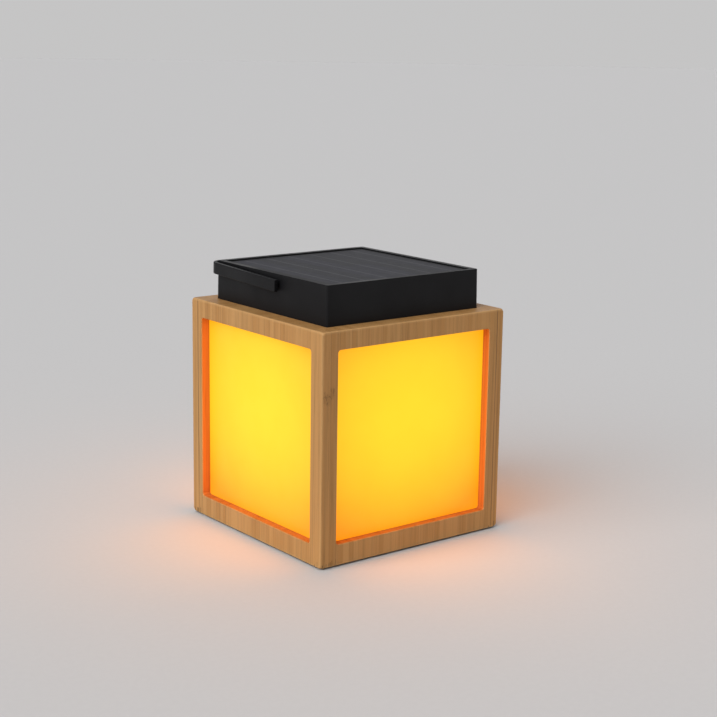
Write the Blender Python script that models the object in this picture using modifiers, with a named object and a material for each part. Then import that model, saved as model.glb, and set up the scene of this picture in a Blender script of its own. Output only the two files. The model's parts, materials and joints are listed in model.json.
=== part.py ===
"""Square bamboo solar lantern: a windowed box, opal panes and a lift-out light module with a bail."""

import math

import bmesh
import bpy
from mathutils import Matrix, Vector
from mathutils.geometry import interpolate_bezier

# All lengths are in metres. The front is -Y, the left is -X and the lantern stands on Z = 0.

# Fits
GAP = 0.0003                # room left between pieces that touch
MODULE_PLAY = 0.0006        # room on each side of the module inside the box
CAVITY_PLAY = 0.001         # how far a cutter runs past the face that it opens

# Bamboo box
BOX_WIDTH = 0.150
BOX_HEIGHT = 0.1515
WALL = 0.0122
EDGE_ROUND = 0.0015
STILE = 0.01215
BOTTOM_RAIL = 0.0138
TOP_RAIL = 0.0123
WINDOW_ROUND = 0.002

# Opal panes behind the windows
PANE_SETBACK = 0.0062       # from the outside of a wall to the step that the pane bears on
PANE_LAP = 0.003            # how far a pane reaches past its window, above and below
PANE_THICKNESS = 0.0025

# Base and feet
BASE_THICKNESS = 0.004
BASE_LAP = 0.0052           # how far the base reaches under the walls
BASE_SCREW_EDGE = 0.0028    # from the edge of the base to its screws
BASE_SCREW_RADIUS = 0.00125
BASE_SCREW_LENGTH = 0.009
BASE_HEAD_RADIUS = 0.0021
BASE_HEAD_HEIGHT = 0.0018
FOOT_RADIUS = 0.006
FOOT_THICKNESS = 0.0015
FOOT_STANDOUT = 0.001
FOOT_EDGE = 0.0117          # from the edge of the base to the middle of a foot

# Corner blocks that carry the module
BLOCK_LEG = 0.016
BLOCK_HEIGHT = 0.005

# Module housing
MODULE_DROP = 0.005         # how deep the module sits in the box
MODULE_ROUND = 0.0025
TOP_EDGE_ROUND = 0.0005
HOUSING_WALL = 0.0022
RIM_WIDTH = 0.004
RIM_HEIGHT = 0.0008         # how far the rim stands above the panel
TRAY_FLOOR = 0.0022
PANEL_THICKNESS = 0.002
FOAM_THICKNESS = 0.0006
FOAM_WIDTH = 0.006
COVER_THICKNESS = 0.002
GASKET_THICKNESS = 0.001
HEADROOM = 0.0017           # between the battery cell and the floor of the panel tray
LEAD_HOLE_RADIUS = 0.005
POST_INSET = 0.010          # from the inside of the housing to the middle of a screw post
POST_RADIUS = 0.004
COVER_SCREW_RADIUS = 0.0014
COVER_SCREW_LENGTH = 0.012
COVER_HEAD_RADIUS = 0.0025
COVER_HEAD_HEIGHT = 0.0016

# Bail handle
HANDLE_PLAY = 0.0015        # between the housing and the strap
STRAP_THICKNESS = 0.0030
STRAP_HEIGHT = 0.0078
STRAP_OVERHANG = 0.0114     # how far the strap runs past its pivot
STRAP_EDGE_ROUND = 0.0004
HANDLE_ROUND = 0.0087
HANDLE_TILT = math.radians(1.9)
PIVOT_BELOW_RIM = 0.00675
PEG_RADIUS = 0.002
PEG_DEPTH = 0.0032          # how far a peg reaches into the housing
SPACER_RADIUS = 0.0034
PIVOT_BOSS_WALL = 0.0012
PIVOT_BOSS_WIDTH = 0.012
REST_WIDTH = 0.030          # ledge on the back of the housing that the folded handle lies on
REST_DEPTH = 0.003
REST_HEIGHT = 0.002

# Battery
CELL_RADIUS = 0.0092
CELL_LENGTH = 0.065
CELL_EDGE_ROUND = 0.0006
CELL_TIP_RADIUS = 0.003
CELL_TIP_HEIGHT = 0.0008
CELL_FROM_BACK = 0.030      # from the back wall of the housing to the cell's axis
HOLDER_FLOOR = 0.001
HOLDER_WALL = 0.0014
HOLDER_HEIGHT = 0.014
CONTACT_THICKNESS = 0.0006
CONTACT_WIDTH = 0.012
CONTACT_RISE = 0.003        # how far the solder tag stands above the holder
TAPE_THICKNESS = 0.001
TAPE_LENGTH = 0.060
TAPE_WIDTH = 0.016

# Circuit board and what is on it
BOARD_WIDTH = 0.064
BOARD_DEPTH = 0.042
BOARD_THICKNESS = 0.0016
BOARD_FROM_FRONT = 0.011    # from the front wall of the housing to the board
STANDOFF_RADIUS = 0.003
STANDOFF_HEIGHT = 0.0072
STANDOFF_INSET = 0.004
BOARD_SCREW_RADIUS = 0.0009
BOARD_SCREW_LENGTH = 0.006
BOARD_HEAD_RADIUS = 0.0018
BOARD_HEAD_HEIGHT = 0.0012
CHIP_SIZE = 0.007
CHIP_HEIGHT = 0.0012
COIL_SIZE = 0.008
COIL_HEIGHT = 0.004
COIL_ROUND = 0.0018
CAPACITOR_RADIUS = 0.003
CAPACITOR_HEIGHT = 0.008
CAPACITOR_EDGE_ROUND = 0.0005
BOARD_SPREAD = 0.016        # between the middles of neighbouring pieces on the board
SWITCH_SIZE = 0.006
SWITCH_HEIGHT = 0.0034
PLUNGER_RADIUS = 0.0017

# Push button in the underside of the module
BUTTON_OFFSET = 0.022
BUTTON_RADIUS = 0.005
BUTTON_STANDOUT = 0.0015
BUTTON_FLANGE_RADIUS = 0.0065
BUTTON_FLANGE_HEIGHT = 0.0012
BUTTON_TRAVEL = 0.001
BUTTON_STOP = 0.0002        # between the pressed button and the switch's plunger
BUTTON_EDGE_ROUND = 0.0005

# Light under the module
LED_BOARD_RADIUS = 0.015
LED_BOARD_THICKNESS = 0.0012
LED_RADIUS = 0.007
LED_HEIGHT = 0.0009
DOME_PLAY = 0.0015          # between the light's board and the dome round it
DOME_WALL = 0.0016
DOME_DEPTH = 0.016
DOME_FLANGE_WIDTH = 0.007
DOME_FLANGE_HEIGHT = 0.002

# Leads
LEAD_RADIUS = 0.0006
LEAD_PITCH = 0.003          # between the two leads of a pair
LEAD_POINT_SPACING = 0.003
LEAD_LEAST_POINTS = 6
LED_LEAD_OFFSET = 0.011     # from the middle of the module to the leads of the light

# Facets
ROUND_STEPS = 24
SMALL_ROUND_STEPS = 12
CORNER_STEPS = 4
MERGE = 0.000001
SHARP = math.radians(35)

# Levels, from the ground up
box_low = FOOT_STANDOUT
box_top = box_low + BOX_HEIGHT
window_low = box_low + BOTTOM_RAIL
window_high = box_top - TOP_RAIL
module_low = box_top - MODULE_DROP
cover_top = module_low + COVER_THICKNESS
gasket_low = cover_top + GAP
housing_low = gasket_low + GASKET_THICKNESS + GAP
tape_low = cover_top + GAP
holder_low = tape_low + TAPE_THICKNESS + GAP
cell_level = holder_low + HOLDER_FLOOR + GAP + CELL_RADIUS
tray_low = cell_level + CELL_RADIUS + HEADROOM
tray_top = tray_low + TRAY_FLOOR
foam_low = tray_top + GAP
panel_low = foam_low + FOAM_THICKNESS + GAP
panel_top = panel_low + PANEL_THICKNESS
module_top = panel_top + RIM_HEIGHT
pivot_level = module_top - PIVOT_BELOW_RIM
board_low = cover_top + STANDOFF_HEIGHT + GAP
board_top = board_low + BOARD_THICKNESS

# Half widths, from the middle out
box_half = BOX_WIDTH / 2
bore_half = box_half - WALL
window_half = box_half - STILE
step_half = box_half - PANE_SETBACK
pane_outer = step_half - GAP
pane_inner = pane_outer - PANE_THICKNESS
pane_half = pane_inner - GAP
base_half = bore_half + BASE_LAP
module_half = bore_half - MODULE_PLAY
cavity_half = module_half - HOUSING_WALL
recess_half = module_half - RIM_WIDTH
post_offset = cavity_half - POST_INSET
board_middle = -(cavity_half - BOARD_FROM_FRONT - BOARD_DEPTH / 2)
cell_middle = cavity_half - CELL_FROM_BACK
dome_inner = LED_BOARD_RADIUS + DOME_PLAY
dome_outer = dome_inner + DOME_WALL

CORNERS = {"front_left": (-1, -1), "front_right": (1, -1), "back_right": (1, 1), "back_left": (-1, 1)}
SIDES = {"front": 0, "right": 1, "back": 2, "left": 3}     # quarter turns from the front

for old_object in list(bpy.data.objects):
    bpy.data.objects.remove(old_object)

parts = bpy.data.collections.new("solar_lantern")
cutters = bpy.data.collections.new("solar_lantern_cutters")
for collection in (parts, cutters):
    bpy.context.scene.collection.children.link(collection)


def finish(name, colour, roughness, metallic=0.0):
    """A plain material."""
    material = bpy.data.materials.new(name)
    material.use_nodes = True
    shader = material.node_tree.nodes["Principled BSDF"]
    shader.inputs["Base Color"].default_value = (*colour, 1.0)
    shader.inputs["Roughness"].default_value = roughness
    shader.inputs["Metallic"].default_value = metallic
    return material


bamboo = finish("bamboo", (0.55, 0.36, 0.19), 0.55)
bamboo_edge = finish("bamboo_strip", (0.48, 0.31, 0.16), 0.6)
opal = finish("opal_acrylic", (0.96, 0.80, 0.45), 0.4)
black_plastic = finish("black_plastic", (0.02, 0.02, 0.023), 0.5)
white_plastic = finish("white_plastic", (0.85, 0.85, 0.82), 0.45)
solar_glass = finish("solar_glass", (0.03, 0.025, 0.04), 0.12)
black_rubber = finish("black_rubber", (0.03, 0.03, 0.03), 0.8)
grey_foam = finish("grey_foam", (0.12, 0.12, 0.12), 0.9)
steel = finish("steel", (0.62, 0.62, 0.64), 0.3, 1.0)
green_board = finish("green_board", (0.03, 0.20, 0.08), 0.45)
white_board = finish("white_board", (0.80, 0.80, 0.78), 0.4)
chip_black = finish("chip_black", (0.03, 0.03, 0.03), 0.4)
led_yellow = finish("led_yellow", (0.95, 0.75, 0.15), 0.3)
cell_wrap = finish("cell_wrap", (0.05, 0.22, 0.45), 0.35)
red_lead = finish("red_lead", (0.55, 0.02, 0.02), 0.45)
black_lead = finish("black_lead", (0.02, 0.02, 0.02), 0.45)


def add_object(name, mesh, material=None):
    """Put a mesh in the lantern, or among the cutters where it has no material."""
    obj = bpy.data.objects.new(name, mesh)
    if material is None:
        obj.hide_render = True
        obj.display_type = "WIRE"
        cutters.objects.link(obj)
    else:
        mesh.materials.append(material)
        parts.objects.link(obj)
    return obj


def mesh_from(name, bm, smooth=False):
    """Close a bmesh into a mesh."""
    mesh = bpy.data.meshes.new(name)
    bm.to_mesh(mesh)
    bm.free()
    if smooth:
        mesh.shade_smooth()
        mesh.set_sharp_from_angle(angle=SHARP)
    return mesh


def block_mesh(name, low, high, upright_round=0.0, top_round=0.0):
    """A box between two corners, with its upright and then its top edges rounded."""
    low, high = Vector(low), Vector(high)
    bm = bmesh.new()
    bmesh.ops.create_cube(bm, size=1.0)
    bmesh.ops.scale(bm, verts=bm.verts, vec=high - low)
    bmesh.ops.translate(bm, verts=bm.verts, vec=(high + low) / 2)
    if upright_round:
        upright = [e for e in bm.edges if abs((e.verts[0].co - e.verts[1].co).z) > MERGE]
        bmesh.ops.bevel(bm, geom=upright, offset=upright_round, segments=CORNER_STEPS,
                        profile=0.5, affect="EDGES")
    if top_round:
        top = [e for e in bm.edges if min(v.co.z for v in e.verts) > high.z - MERGE]
        bmesh.ops.bevel(bm, geom=top, offset=top_round, segments=2, profile=0.5, affect="EDGES")
    return mesh_from(name, bm, smooth=bool(upright_round or top_round))


def block(name, low, high, material=None, upright_round=0.0, top_round=0.0):
    return add_object(name, block_mesh(name, low, high, upright_round, top_round), material)


def rods(name, places, radius, low, high, material=None, steps=ROUND_STEPS, along_x=False):
    """One closed cylinder at each place, upright at (x, y) or lying along X at (y, z)."""
    bm = bmesh.new()
    for first, second in places:
        rod = bmesh.ops.create_cone(bm, cap_ends=True, segments=steps, radius1=radius, radius2=radius,
                                    depth=high - low)
        place = Matrix.Translation((first, second, (low + high) / 2))
        if along_x:
            turn = Matrix.Rotation(math.pi / 2, 4, "Y")
            place = Matrix.Translation(((low + high) / 2, first, second)) @ turn
        bmesh.ops.transform(bm, matrix=place, verts=rod["verts"])
    return add_object(name, mesh_from(name, bm, smooth=True), material)


def boolean(obj, tool, operation):
    modifier = obj.modifiers.new(tool.name, "BOOLEAN")
    modifier.operation = operation
    modifier.solver = "EXACT"
    modifier.object = tool


def cut(obj, *tools):
    for tool in tools:
        boolean(obj, tool, "DIFFERENCE")


def join(obj, *tools):
    for tool in tools:
        boolean(obj, tool, "UNION")


def turned(name, profile, material=None, steps=ROUND_STEPS):
    """Turn a profile of (radius, height) points about Z. The outer side runs from top to bottom."""
    mesh = bpy.data.meshes.new(name)
    edges = [(i, i + 1) for i in range(len(profile) - 1)]
    mesh.from_pydata([(radius, 0.0, height) for radius, height in profile], edges, [])
    obj = add_object(name, mesh, material)
    screw = obj.modifiers.new("Turn", "SCREW")
    screw.axis = "Z"
    screw.steps = steps
    screw.render_steps = steps
    screw.use_merge_vertices = True
    screw.merge_threshold = MERGE
    screw.use_smooth_shade = False
    return obj


def solid_mesh(obj):
    """The finished mesh of an object that was only made to be copied."""
    graph = bpy.context.evaluated_depsgraph_get()
    mesh = bpy.data.meshes.new_from_object(obj.evaluated_get(graph))
    bpy.data.objects.remove(obj)
    bm = bmesh.new()
    bm.from_mesh(mesh)
    bmesh.ops.remove_doubles(bm, verts=bm.verts, dist=MERGE)
    bmesh.ops.recalc_face_normals(bm, faces=bm.faces)
    bm.to_mesh(mesh)
    bm.free()
    return mesh


def screw(name, place, seat, head, shank, points_up):
    """A pan-head screw whose head bears on the level named seat, a gap away."""
    head_radius, head_height = head
    radius, length = shank
    profile = [(0, 0), (head_radius * 0.8, 0), (head_radius, -head_height * 0.4), (head_radius, -head_height),
               (radius, -head_height), (radius, -head_height - length + radius),
               (0, -head_height - length)]
    obj = turned(name, profile, steel, SMALL_ROUND_STEPS)
    top = head_height + GAP
    obj.location = (*place, seat - top if points_up else seat + top)
    obj.rotation_euler = (math.pi if points_up else 0, 0, 0)


def arc(middle, radius, start, end, steps):
    """Points on an arc, with its angles in degrees."""
    turn = [math.radians(start + (end - start) * i / steps) for i in range(steps + 1)]
    return [(middle[0] + radius * math.cos(a), middle[1] + radius * math.sin(a)) for a in turn]


def plate_from_outline(name, outline, thickness, material=None):
    """A flat outline with a thickness, centred on Z = 0, as a closed mesh."""
    curve = bpy.data.curves.new(name, "CURVE")
    curve.dimensions = "2D"
    curve.fill_mode = "BOTH"
    curve.extrude = thickness / 2
    spline = curve.splines.new("POLY")
    spline.points.add(len(outline) - 1)
    for point, (x, y) in zip(spline.points, outline):
        point.co = (x, y, 0.0, 1.0)
    spline.use_cyclic_u = True
    shape = bpy.data.objects.new(name, curve)
    parts.objects.link(shape)
    return add_object(name, solid_mesh(shape), material)


def lead(name, start, leaving, end, arriving, material):
    """A thin insulated wire on one smooth curve that leaves and arrives along two directions."""
    start, end = Vector(start), Vector(end)
    span = (end - start).length
    count = max(LEAD_LEAST_POINTS, round(span / LEAD_POINT_SPACING))
    start_knob = start + Vector(leaving) * span / 3
    end_knob = end - Vector(arriving) * span / 3
    path = interpolate_bezier(start, start_knob, end_knob, end, count)
    curve = bpy.data.curves.new(name, "CURVE")
    curve.dimensions = "3D"
    curve.bevel_depth = LEAD_RADIUS
    curve.bevel_resolution = 2
    curve.use_fill_caps = True
    spline = curve.splines.new("POLY")
    spline.points.add(len(path) - 1)
    for point, place in zip(spline.points, path):
        point.co = (*place, 1.0)
    curve.materials.append(material)
    obj = bpy.data.objects.new(name, curve)
    parts.objects.link(obj)
    return obj


def square_ring(name, outer, inner, low, high, material, upright_round=0.0):
    """A flat square frame."""
    ring = block(name, (-outer, -outer, low), (outer, outer, high), material, upright_round)
    hole = block(name + "_hole", (-inner, -inner, low - CAVITY_PLAY), (inner, inner, high + CAVITY_PLAY))
    cut(ring, hole)
    return ring


def four_places(offset_x, offset_y, middle_y=0.0):
    return [(sx * offset_x, middle_y + sy * offset_y) for sx, sy in CORNERS.values()]


def through_cutters():
    """Window and rebate openings, each running right through two opposite walls."""
    windows, rebates = [], []
    far = box_half + CAVITY_PLAY
    rebate_half = pane_half + GAP
    middle = (window_low + window_high) / 2
    half_height = (window_high - window_low) / 2
    for axis, turn in (("y", 0.0), ("x", math.pi / 2)):
        window = block("window_cut_" + axis, (-window_half, -half_height, -far),
                       (window_half, half_height, far), upright_round=WINDOW_ROUND)
        window.location = (0, 0, middle)
        window.rotation_euler = (math.pi / 2, 0, turn)
        rebate = block("rebate_cut_" + axis, (-rebate_half, -step_half, -half_height - PANE_LAP),
                       (rebate_half, step_half, half_height + PANE_LAP))
        rebate.location = (0, 0, middle)
        rebate.rotation_euler = (0, 0, turn)
        windows.append(window)
        rebates.append(rebate)
    return windows, rebates


def rounded_box_mesh(name):
    """The outside of the wooden box, with all its edges rounded."""
    bm = bmesh.new()
    bmesh.ops.create_cube(bm, size=1.0)
    bmesh.ops.scale(bm, verts=bm.verts, vec=(BOX_WIDTH, BOX_WIDTH, BOX_HEIGHT))
    bmesh.ops.translate(bm, verts=bm.verts, vec=(0, 0, box_low + BOX_HEIGHT / 2))
    bmesh.ops.bevel(bm, geom=bm.edges[:], offset=EDGE_ROUND, segments=3, profile=0.5, affect="EDGES")
    return mesh_from(name, bm, smooth=True)


def base_screw_places():
    """One place under the middle of each wall."""
    edge = base_half - BASE_SCREW_EDGE
    return {"front": (0, -edge), "right": (edge, 0), "back": (0, edge), "left": (-edge, 0)}


def build_walls():
    """Four boards with mitred corners, cut from one rounded box by a wedge each."""
    windows, rebates = through_cutters()
    bore = block("bore_cut", (-bore_half, -bore_half, 0), (bore_half, bore_half, box_top + CAVITY_PLAY))
    base_room = base_half + GAP
    base_cut = block("base_cut", (-base_room, -base_room, 0),
                     (base_room, base_room, box_low + BASE_THICKNESS + GAP))
    pilots = rods("base_pilot_cut", base_screw_places().values(), BASE_SCREW_RADIUS + GAP, box_low,
                  box_low + BASE_HEAD_HEIGHT + GAP + BASE_SCREW_LENGTH + GAP, steps=SMALL_ROUND_STEPS)
    far = BOX_WIDTH
    mitre = GAP / 2 * math.sqrt(2)
    for side, turns in SIDES.items():
        wall = add_object(side + "_wall", rounded_box_mesh(side + "_wall"), bamboo)
        wedge = plate_from_outline(side + "_wedge", [(0, -mitre), (-far + mitre, -far), (far - mitre, -far)],
                                   2 * (box_top + CAVITY_PLAY))
        wedge.rotation_euler = (0, 0, turns * math.pi / 2)
        boolean(wall, wedge, "INTERSECT")
        cut(wall, bore, windows[turns % 2], rebates[turns % 2], base_cut, pilots)


def build_panes():
    """Four opal sheets against the steps of the rebates, and the beads that hold them in the corners."""
    low = window_low - PANE_LAP + GAP
    high = window_high + PANE_LAP - GAP
    for side, turns in SIDES.items():
        pane = block(side + "_pane", (-pane_half, -pane_outer, low), (pane_half, -pane_inner, high), opal)
        pane.rotation_euler = (0, 0, turns * math.pi / 2)
    bead_outer = pane_inner - GAP
    for corner, (sx, sy) in CORNERS.items():
        ends_x = sorted((sx * bore_half, sx * bead_outer))
        ends_y = sorted((sy * bore_half, sy * bead_outer))
        block("corner_bead_" + corner, (ends_x[0], ends_y[0], low), (ends_x[1], ends_y[1], high), bamboo_edge)


def build_base():
    """The board under the box, its screws and the rubber feet let into it."""
    low, high = box_low, box_low + BASE_THICKNESS
    base = block("base_board", (-base_half, -base_half, low), (base_half, base_half, high), bamboo)
    places = base_screw_places()
    holes = rods("base_screw_cut", places.values(), BASE_SCREW_RADIUS + GAP, low - CAVITY_PLAY,
                 high + CAVITY_PLAY, steps=SMALL_ROUND_STEPS)
    head_seat = low + BASE_HEAD_HEIGHT + 2 * GAP
    heads = rods("base_head_cut", places.values(), BASE_HEAD_RADIUS + GAP, low - CAVITY_PLAY, head_seat,
                 steps=SMALL_ROUND_STEPS)
    foot_offset = base_half - FOOT_EDGE
    foot_seat = FOOT_THICKNESS + GAP
    feet = rods("foot_cut", four_places(foot_offset, foot_offset), FOOT_RADIUS + GAP, low - CAVITY_PLAY,
                foot_seat)
    cut(base, holes, heads, feet)
    for side, place in places.items():
        screw("base_screw_" + side, place, head_seat, (BASE_HEAD_RADIUS, BASE_HEAD_HEIGHT),
              (BASE_SCREW_RADIUS, BASE_SCREW_LENGTH - GAP), points_up=True)
    chamfer = FOOT_THICKNESS / 3
    for corner, (sx, sy) in CORNERS.items():
        foot = turned("foot_" + corner, [(0, FOOT_THICKNESS), (FOOT_RADIUS, FOOT_THICKNESS),
                                         (FOOT_RADIUS, chamfer), (FOOT_RADIUS - chamfer, 0), (0, 0)],
                      black_rubber)
        foot.location = (sx * foot_offset, sy * foot_offset, 0)


def build_corner_blocks():
    """Triangular blocks in the top corners of the box, which the module sits on."""
    reach = bore_half - GAP
    high = module_low - GAP
    for turns, corner in enumerate(CORNERS):
        outline = [(-reach, -reach), (-reach + BLOCK_LEG, -reach), (-reach, -reach + BLOCK_LEG)]
        corner_block = plate_from_outline("corner_block_" + corner, outline, BLOCK_HEIGHT, bamboo_edge)
        corner_block.location = (0, 0, high - BLOCK_HEIGHT / 2)
        corner_block.rotation_euler = (0, 0, turns * math.pi / 2)


def build_housing():
    """The moulded top of the module: a square cap with a tray for the panel and posts for the screws."""
    housing = block("module_housing", (-module_half, -module_half, housing_low),
                    (module_half, module_half, module_top), black_plastic, MODULE_ROUND, TOP_EDGE_ROUND)
    cavity = block("cavity_cut", (-cavity_half, -cavity_half, housing_low - CAVITY_PLAY),
                   (cavity_half, cavity_half, tray_low))
    posts = rods("post_keep", four_places(post_offset, post_offset), POST_RADIUS, housing_low,
                 tray_low + CAVITY_PLAY)
    cut(cavity, posts)
    hole_depth = PEG_DEPTH + GAP
    boss_face = module_half - hole_depth - PIVOT_BOSS_WALL
    boss_low = pivot_level - PIVOT_BOSS_WIDTH / 2
    for side, sx in (("left", -1), ("right", 1)):
        ends = sorted((sx * boss_face, sx * module_half))
        boss = block(side + "_boss_keep", (ends[0], -PIVOT_BOSS_WIDTH / 2, boss_low),
                     (ends[1], PIVOT_BOSS_WIDTH / 2, tray_low + CAVITY_PLAY))
        cut(cavity, boss)
    recess = block("recess_cut", (-recess_half, -recess_half, tray_top),
                   (recess_half, recess_half, module_top + CAVITY_PLAY))
    ledge_top = pivot_level + handle_low_point() - GAP
    ledge = block("handle_rest", (-REST_WIDTH / 2, module_half - HOUSING_WALL / 2, ledge_top - REST_HEIGHT),
                  (REST_WIDTH / 2, module_half + REST_DEPTH, ledge_top))
    cut(housing, cavity, recess)
    join(housing, ledge)
    for side, sx in (("left", -1), ("right", 1)):
        ends = sorted((sx * (module_half - hole_depth), sx * (module_half + CAVITY_PLAY)))
        peg_hole = rods(side + "_peg_cut", [(0.0, pivot_level)], PEG_RADIUS + GAP, *ends, along_x=True)
        cut(housing, peg_hole)
    lead_hole = rods("lead_hole_cut", [(0, 0)], LEAD_HOLE_RADIUS, tray_low - CAVITY_PLAY,
                     tray_top + CAVITY_PLAY)
    screw_top = module_low + COVER_SCREW_LENGTH + GAP
    pilots = rods("post_pilot_cut", four_places(post_offset, post_offset), COVER_SCREW_RADIUS + GAP,
                  housing_low - CAVITY_PLAY, screw_top, steps=SMALL_ROUND_STEPS)
    cut(housing, lead_hole, pilots)


def build_panel():
    """The laminated solar panel, bedded on a frame of foam in the tray."""
    half = recess_half - GAP
    block("solar_panel", (-half, -half, panel_low), (half, half, panel_top), solar_glass)
    square_ring("panel_foam", half, half - FOAM_WIDTH, foam_low, foam_low + FOAM_THICKNESS, grey_foam)


def standoff_places():
    return four_places(BOARD_WIDTH / 2 - STANDOFF_INSET, BOARD_DEPTH / 2 - STANDOFF_INSET, board_middle)


def build_cover():
    """The plate that closes the module from below, its gasket and its screws."""
    cover = block("module_cover", (-module_half, -module_half, module_low),
                  (module_half, module_half, cover_top), black_plastic, MODULE_ROUND)
    root = cover_top - COVER_THICKNESS / 2
    standoffs = rods("standoff_add", standoff_places(), STANDOFF_RADIUS, root, cover_top + STANDOFF_HEIGHT)
    pins = rods("board_pin_add", standoff_places()[1::2], BOARD_SCREW_RADIUS, root, board_top,
                steps=SMALL_ROUND_STEPS)
    join(cover, standoffs, pins)
    past = module_low - CAVITY_PLAY
    post_places = four_places(post_offset, post_offset)
    screw_holes = rods("cover_screw_cut", post_places, COVER_SCREW_RADIUS + GAP, past,
                       cover_top + CAVITY_PLAY, steps=SMALL_ROUND_STEPS)
    board_holes = rods("board_pilot_cut", standoff_places()[::2], BOARD_SCREW_RADIUS + GAP,
                       board_top - BOARD_SCREW_LENGTH - GAP, cover_top + STANDOFF_HEIGHT + CAVITY_PLAY,
                       steps=SMALL_ROUND_STEPS)
    button_hole = rods("button_cut", [(BUTTON_OFFSET, board_middle)], BUTTON_RADIUS + GAP, past,
                       cover_top + CAVITY_PLAY)
    light_hole = rods("light_lead_cut", [(0, -LED_LEAD_OFFSET)], LEAD_PITCH / 2 + LEAD_RADIUS + GAP, past,
                      cover_top + CAVITY_PLAY, steps=SMALL_ROUND_STEPS)
    cut(cover, screw_holes, board_holes, button_hole, light_hole)
    square_ring("cover_gasket", module_half, cavity_half, gasket_low, gasket_low + GASKET_THICKNESS,
                black_rubber, MODULE_ROUND)
    for corner, place in zip(CORNERS, post_places):
        screw("cover_screw_" + corner, place, module_low, (COVER_HEAD_RADIUS, COVER_HEAD_HEIGHT),
              (COVER_SCREW_RADIUS, COVER_SCREW_LENGTH), points_up=True)


def build_handle():
    """A U-shaped strap with a peg and a spacer on the inside of each arm, folded to the back."""
    inner = module_half + HANDLE_PLAY
    outer = inner + STRAP_THICKNESS
    bend = outer - HANDLE_ROUND
    bend_inner = HANDLE_ROUND - STRAP_THICKNESS
    outline = [(-outer, -STRAP_OVERHANG)]
    outline += arc((-bend, bend), HANDLE_ROUND, 180, 90, 2 * CORNER_STEPS)
    outline += arc((bend, bend), HANDLE_ROUND, 90, 0, 2 * CORNER_STEPS)
    outline += [(outer, -STRAP_OVERHANG), (inner, -STRAP_OVERHANG)]
    outline += arc((bend, bend), bend_inner, 0, 90, 2 * CORNER_STEPS)
    outline += arc((-bend, bend), bend_inner, 90, 180, 2 * CORNER_STEPS)
    outline += [(-inner, -STRAP_OVERHANG)]
    handle = plate_from_outline("handle", outline, STRAP_HEIGHT, black_plastic)
    handle.data.shade_smooth()
    handle.data.set_sharp_from_angle(angle=SHARP)
    edges = handle.modifiers.new("Edges", "BEVEL")
    edges.width = STRAP_EDGE_ROUND
    edges.segments = 1
    edges.limit_method = "ANGLE"
    edges.angle_limit = SHARP
    handle.location = (0, 0, pivot_level)
    handle.rotation_euler = (HANDLE_TILT, 0, 0)
    root = inner + STRAP_THICKNESS / 2
    for side, sx in (("left", -1), ("right", 1)):
        for kind, radius, tip in (("spacer", SPACER_RADIUS, module_half + GAP),
                                  ("peg", PEG_RADIUS, module_half - PEG_DEPTH)):
            ends = sorted((sx * tip, sx * root))
            stub = rods(side + "_" + kind, [(0.0, pivot_level)], radius, *ends, along_x=True)
            join(handle, stub)


def handle_low_point():
    """Height of the lowest edge of the folded crossbar above the pivot."""
    inner = module_half + HANDLE_PLAY
    return inner * math.sin(HANDLE_TILT) - STRAP_HEIGHT / 2 * math.cos(HANDLE_TILT)


def build_battery():
    """One cylindrical cell in an open holder that is taped to the cover."""
    half_length = CELL_LENGTH / 2
    cell = turned("battery_cell", [(0, half_length), (CELL_TIP_RADIUS, half_length),
                                   (CELL_TIP_RADIUS, half_length - CELL_TIP_HEIGHT),
                                   (CELL_RADIUS - CELL_EDGE_ROUND, half_length - CELL_TIP_HEIGHT),
                                   (CELL_RADIUS, half_length - CELL_TIP_HEIGHT - CELL_EDGE_ROUND),
                                   (CELL_RADIUS, -half_length + CELL_EDGE_ROUND),
                                   (CELL_RADIUS - CELL_EDGE_ROUND, -half_length), (0, -half_length)],
                  cell_wrap)
    cell.location = (0, cell_middle, cell_level)
    cell.rotation_euler = (0, math.pi / 2, 0)
    contact_near = half_length + GAP
    contact_far = contact_near + CONTACT_THICKNESS
    room_x = contact_far + GAP
    room_y = CELL_RADIUS + GAP
    holder_top = holder_low + HOLDER_HEIGHT
    holder = block("battery_holder", (-room_x - HOLDER_WALL, cell_middle - room_y - HOLDER_WALL, holder_low),
                   (room_x + HOLDER_WALL, cell_middle + room_y + HOLDER_WALL, holder_top), black_plastic)
    room = block("holder_cut", (-room_x, cell_middle - room_y, holder_low + HOLDER_FLOOR),
                 (room_x, cell_middle + room_y, holder_top + CAVITY_PLAY))
    cut(holder, room)
    for name, sx in (("negative_contact", -1), ("positive_contact", 1)):
        ends = sorted((sx * contact_near, sx * contact_far))
        block(name, (ends[0], cell_middle - CONTACT_WIDTH / 2, holder_low + HOLDER_FLOOR + GAP),
              (ends[1], cell_middle + CONTACT_WIDTH / 2, holder_top + CONTACT_RISE), steel)
    block("battery_tape", (-TAPE_LENGTH / 2, cell_middle - TAPE_WIDTH / 2, tape_low),
          (TAPE_LENGTH / 2, cell_middle + TAPE_WIDTH / 2, tape_low + TAPE_THICKNESS), grey_foam)
    return (contact_near + contact_far) / 2, holder_top + CONTACT_RISE


def on_board(name, x, y, size, height, material, upright_round=0.0):
    """A square piece that stands on the circuit board."""
    low = board_top + GAP
    middle = board_middle + y
    return block(name, (x - size / 2, middle - size / 2, low),
                 (x + size / 2, middle + size / 2, low + height), material, upright_round)


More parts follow.
